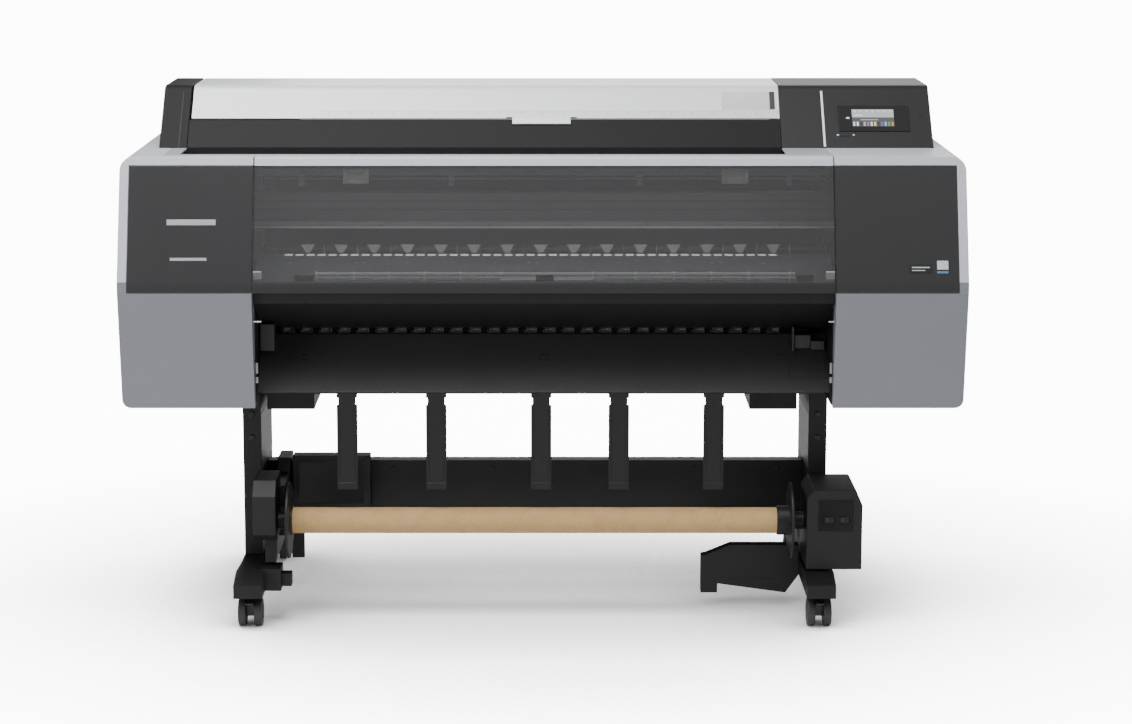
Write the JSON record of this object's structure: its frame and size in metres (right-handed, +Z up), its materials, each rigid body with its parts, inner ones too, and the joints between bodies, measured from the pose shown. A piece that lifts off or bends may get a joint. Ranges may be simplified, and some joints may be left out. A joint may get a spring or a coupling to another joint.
{
  "type": "inkjet printer",
  "caption": "Wide-format roll-fed inkjet printer on a castered stand, with opening covers, moving carriage, hanging paper guides and a powered take-up reel.",
  "frame": {"origin": "on the floor under the middle of the printer's bounding box", "axes": "+X to the right seen from the front, along the paper's width; +Y from front to back; +Z up"},
  "size_m": [1.9092, 0.707, 1.213],
  "materials": {
    "light_casing": "fine-grained moulded plastic, light cool grey",
    "deck": "fine-grained moulded plastic, mid grey",
    "dark_gloss": "glossy charcoal plastic",
    "dark_cover": "satin charcoal plastic",
    "black_plastic": "fine-grained black plastic",
    "black_metal": "black powder coat",
    "silver_cover": "satin silver paint",
    "window": "smoked clear plastic",
    "steel": "ground steel",
    "roller_rubber": "matt black rubber",
    "card": "wound kraft paperboard",
    "paper": "matt white paper",
    "screen": "black display glass",
    "lamp": "frosted light strip",
    "belt": "black toothed belt"
  },
  "bodies": {
    "root": {"main_frame": "black_metal", "casing_left": "light_casing", "casing_right": "light_casing", "front_panel_left": "dark_gloss", "front_panel_right": "dark_gloss", "rear_cover": "dark_cover", "top_deck": "deck", "roll_bay": "black_plastic", "end_pod_left": "dark_cover", "control_pod": "dark_cover", "touch_panel": "screen", "alert_lamp": "lamp", "exit_guide": "black_plastic", "output_chute": "black_plastic", "platen": "dark_cover", "carriage_rail": "black_metal", "carriage_belt": "belt", "ink_bank_left": "black_plastic", "ink_bank_right": "black_plastic", "power_inlet": "black_plastic", "leg_left": "black_metal", "leg_right": "black_metal", "foot_left": "black_metal", "foot_right": "black_metal", "stand_beam": "black_metal", "reel_drive_unit": "black_plastic", "reel_control_box": "black_plastic", "loop_sensor_arm": "black_plastic"},
    "front_cover": {"front_cover": "window"},
    "roll_cover": {"roll_cover": "silver_cover"},
    "ink_cover_left": {"ink_cover_left": "light_casing"},
    "ink_cover_right": {"ink_cover_right": "light_casing"},
    "power_button": {"power_button": "black_plastic"},
    "carriage": {"print_carriage": "black_plastic", "print_head": "steel"},
    "feed_roller": {"feed_roller": "steel"},
    "pressure_rollers": {"pressure_rollers": "roller_rubber"},
    "paper_roll": {"paper_roll": "paper", "roll_adapter_left": "dark_cover", "roll_adapter_right": "dark_cover"},
    "reel": {"reel_core": "card", "drive_flange": "black_plastic"},
    "movable_unit": {"reel_movable_unit": "black_plastic"},
    "idler_flange": {"idler_flange": "black_plastic"},
    "lock_lever": {"reel_lock_lever": "black_plastic"},
    "paper_support_1": {"paper_support_1": "black_plastic"},
    "paper_support_2": {"paper_support_2": "black_plastic"},
    "paper_support_3": {"paper_support_3": "black_plastic"},
    "paper_support_4": {"paper_support_4": "black_plastic"},
    "paper_support_5": {"paper_support_5": "black_plastic"},
    "caster_front_left": {"caster_fork_front_left": "black_plastic"},
    "wheels_front_left": {"caster_wheels_front_left": "roller_rubber"},
    "brake_left": {"caster_brake_front_left": "black_plastic"},
    "caster_front_right": {"caster_fork_front_right": "black_plastic"},
    "wheels_front_right": {"caster_wheels_front_right": "roller_rubber"},
    "brake_right": {"caster_brake_front_right": "black_plastic"},
    "caster_rear_left": {"caster_fork_rear_left": "black_plastic"},
    "wheels_rear_left": {"caster_wheels_rear_left": "roller_rubber"},
    "caster_rear_right": {"caster_fork_rear_right": "black_plastic"},
    "wheels_rear_right": {"caster_wheels_rear_right": "roller_rubber"}
  },
  "joints": [
    {"name": "front_cover_hinge", "type": "hinge", "parent": "root", "child": "front_cover", "pos_m": [0, -0.214, 1.0775], "axis": [-1, 0, 0], "range_deg": [0, 100]},
    {"name": "roll_cover_hinge", "type": "hinge", "parent": "root", "child": "roll_cover", "pos_m": [0, 0.3065, 1.14], "axis": [-1, 0, 0], "range_deg": [0, 80]},
    {"name": "ink_cover_left_hinge", "type": "hinge", "parent": "root", "child": "ink_cover_left", "pos_m": [-0.8, -0.2835, 0.518], "axis": [1, 0, 0], "range_deg": [0, 80]},
    {"name": "ink_cover_right_hinge", "type": "hinge", "parent": "root", "child": "ink_cover_right", "pos_m": [0.8, -0.2835, 0.518], "axis": [1, 0, 0], "range_deg": [0, 80]},
    {"name": "power_button_press", "type": "slide", "parent": "root", "child": "power_button", "axis": [0, 0.7386, -0.6741], "range_m": [0, 0.0015], "stiffness_N_per_m": 400},
    {"name": "carriage_slide", "type": "slide", "parent": "root", "child": "carriage", "axis": [-1, 0, 0], "range_m": [0, 1.5]},
    {"name": "feed_roller_spin", "type": "hinge", "parent": "root", "child": "feed_roller", "pos_m": [0, -0.0985, 0.826], "axis": [1, 0, 0], "continuous": true},
    {"name": "pressure_rollers_spin", "type": "hinge", "parent": "root", "child": "pressure_rollers", "pos_m": [0, -0.0985, 0.8463], "axis": [1, 0, 0], "continuous": true},
    {"name": "paper_roll_spin", "type": "hinge", "parent": "root", "child": "paper_roll", "pos_m": [-0.019, 0.18, 1.1285], "axis": [1, 0, 0], "continuous": true},
    {"name": "reel_spin", "type": "hinge", "parent": "root", "child": "reel", "pos_m": [-0.019, -0.2255, 0.231], "axis": [1, 0, 0], "continuous": true},
    {"name": "movable_unit_slide", "type": "slide", "parent": "root", "child": "movable_unit", "axis": [-1, 0, 0], "range_m": [0, 0.025]},
    {"name": "idler_flange_spin", "type": "hinge", "parent": "movable_unit", "child": "idler_flange", "pos_m": [-0.578, -0.2255, 0.231], "axis": [1, 0, 0], "continuous": true},
    {"name": "lock_lever_turn", "type": "hinge", "parent": "movable_unit", "child": "lock_lever", "pos_m": [-0.587, -0.0075, 0.151], "axis": [-1, 0, 0], "range_deg": [0, 60]},
    {"name": "paper_support_1_hinge", "type": "hinge", "parent": "root", "child": "paper_support_1", "pos_m": [-0.4492, -0.23705, 0.5303], "axis": [-1, 0, 0], "range_deg": [0, 60]},
    {"name": "paper_support_2_hinge", "type": "hinge", "parent": "root", "child": "paper_support_2", "pos_m": [-0.2447, -0.23705, 0.5303], "axis": [-1, 0, 0], "range_deg": [0, 60]},
    {"name": "paper_support_3_hinge", "type": "hinge", "parent": "root", "child": "paper_support_3", "pos_m": [-0.004, -0.23705, 0.5303], "axis": [-1, 0, 0], "range_deg": [0, 60]},
    {"name": "paper_support_4_hinge", "type": "hinge", "parent": "root", "child": "paper_support_4", "pos_m": [0.1742, -0.23705, 0.5303], "axis": [-1, 0, 0], "range_deg": [0, 60]},
    {"name": "paper_support_5_hinge", "type": "hinge", "parent": "root", "child": "paper_support_5", "pos_m": [0.3919, -0.23705, 0.5303], "axis": [-1, 0, 0], "range_deg": [0, 60]},
    {"name": "caster_front_left_swivel", "type": "hinge", "parent": "root", "child": "caster_front_left", "pos_m": [-0.6717, -0.2715, 0.0787], "axis": [0, 0, 1], "continuous": true},
    {"name": "brake_left_turn", "type": "hinge", "parent": "caster_front_left", "child": "brake_left", "pos_m": [-0.6717, -0.3058, 0.0547], "axis": [-1, 0, 0], "range_deg": [0, 20]},
    {"name": "wheels_front_left_spin", "type": "hinge", "parent": "caster_front_left", "child": "wheels_front_left", "pos_m": [-0.6717, -0.2915, 0.032], "axis": [1, 0, 0], "continuous": true},
    {"name": "caster_front_right_swivel", "type": "hinge", "parent": "root", "child": "caster_front_right", "pos_m": [0.6342, -0.2715, 0.0787], "axis": [0, 0, 1], "continuous": true},
    {"name": "brake_right_turn", "type": "hinge", "parent": "caster_front_right", "child": "brake_right", "pos_m": [0.6342, -0.3058, 0.0547], "axis": [-1, 0, 0], "range_deg": [0, 20]},
    {"name": "wheels_front_right_spin", "type": "hinge", "parent": "caster_front_right", "child": "wheels_front_right", "pos_m": [0.6342, -0.2915, 0.032], "axis": [1, 0, 0], "continuous": true},
    {"name": "caster_rear_left_swivel", "type": "hinge", "parent": "root", "child": "caster_rear_left", "pos_m": [-0.6717, 0.2715, 0.0787], "axis": [0, 0, 1], "continuous": true},
    {"name": "wheels_rear_left_spin", "type": "hinge", "parent": "caster_rear_left", "child": "wheels_rear_left", "pos_m": [-0.6717, 0.2915, 0.032], "axis": [1, 0, 0], "continuous": true},
    {"name": "caster_rear_right_swivel", "type": "hinge", "parent": "root", "child": "caster_rear_right", "pos_m": [0.6342, 0.2715, 0.0787], "axis": [0, 0, 1], "continuous": true},
    {"name": "wheels_rear_right_spin", "type": "hinge", "parent": "caster_rear_right", "child": "wheels_rear_right", "pos_m": [0.6342, 0.2915, 0.032], "axis": [1, 0, 0], "continuous": true}
  ],
  "couplings": [
    {"joint": "pressure_rollers_spin", "follows": "feed_roller_spin", "ratio": -1.5},
    {"joint": "idler_flange_spin", "follows": "reel_spin", "ratio": 1}
  ]
}
